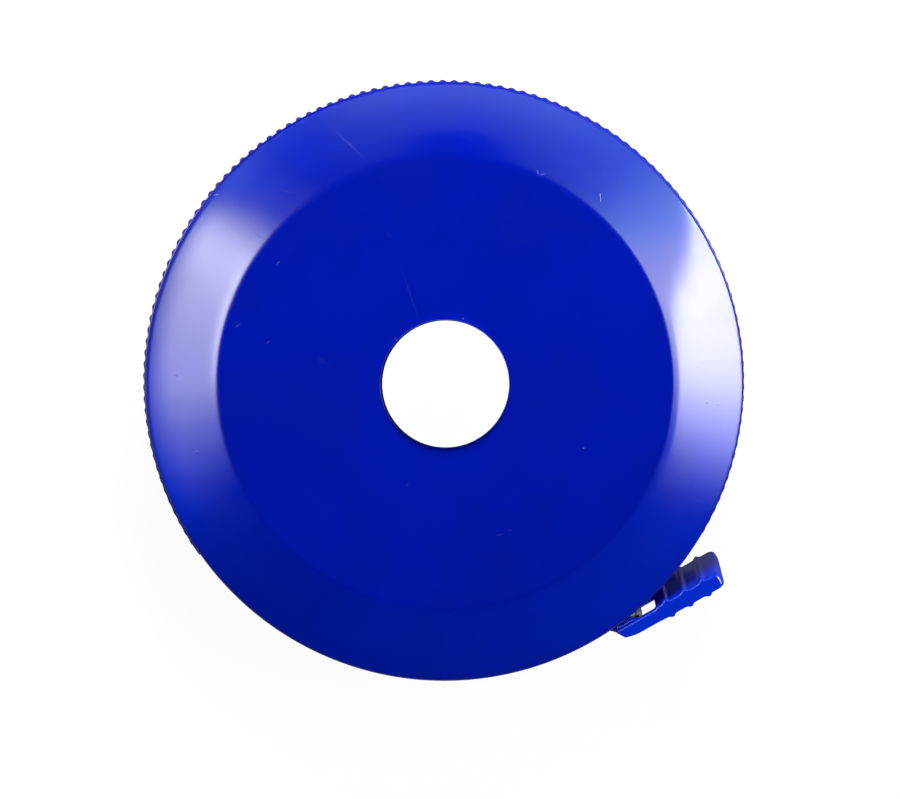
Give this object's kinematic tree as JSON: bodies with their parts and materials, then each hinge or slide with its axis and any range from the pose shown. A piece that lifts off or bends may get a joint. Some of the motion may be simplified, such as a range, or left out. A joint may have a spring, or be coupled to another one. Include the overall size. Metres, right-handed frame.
{
  "type": "retractable tape measure",
  "caption": "Round pocket tape measure with a two-part case, ribbed rim, white push button, spring reel with ratchet, cloth tape and ribbed pull tab.",
  "frame": {"origin": "centre of the case's flat rear face", "axes": "+Z from the rear face through the push button, +X right and +Y up as seen from the front"},
  "size_m": [0.0506, 0.0503, 0.0133],
  "materials": {
    "case_blue": "glossy moulded plastic with fine handling scratches",
    "button_white": "smooth moulded plastic",
    "reel_white": "natural moulded plastic",
    "spring_steel": "bright rolled and drawn spring steel",
    "tape_cloth": "coated woven tape",
    "tab_blue": "glossy moulded plastic"
  },
  "bodies": {
    "case": {"rear_cover": "case_blue", "front_cover": "case_blue", "power_spring": "spring_steel", "button_spring": "spring_steel"},
    "button": {"push_button": "button_white", "pawl_disc": "reel_white"},
    "reel": {"reel_drum": "reel_white", "reel_front_flange": "reel_white", "spring_retainer": "reel_white", "tape_roll": "tape_cloth"},
    "tape_end": {"tape_end_loop": "tape_cloth", "tape_lead": "tape_cloth"},
    "tab": {"pull_tab": "tab_blue"}
  },
  "joints": [
    {"name": "button_press", "type": "slide", "parent": "case", "child": "button", "axis": [0, 0, -1], "range_m": [0, 0.0011], "stiffness_N_per_m": 600, "springref_m": -0.001, "deforming": ["button_spring"]},
    {"name": "reel_turn", "type": "hinge", "parent": "case", "child": "reel", "pos_m": [0, 0, 0.0065], "axis": [0, 0, 1], "range_deg": [0, 5280], "deforming": ["power_spring", "pawl_disc"]},
    {"name": "tape_pull", "type": "slide", "parent": "case", "child": "tape_end", "axis": [0.9946, -0.1041, 0], "range_m": [0, 1.45], "deforming": ["tape_lead"]},
    {"name": "tab_swing", "type": "hinge", "parent": "tape_end", "child": "tab", "pos_m": [0.01546, -0.02034, 0.0065], "axis": [-0.0147, -0.1401, 0.99], "range_deg": [-140, 0]}
  ],
  "couplings": [
    {"joint": "reel_turn", "follows": "tape_pull", "rad_per_m": 63.554}
  ]
}
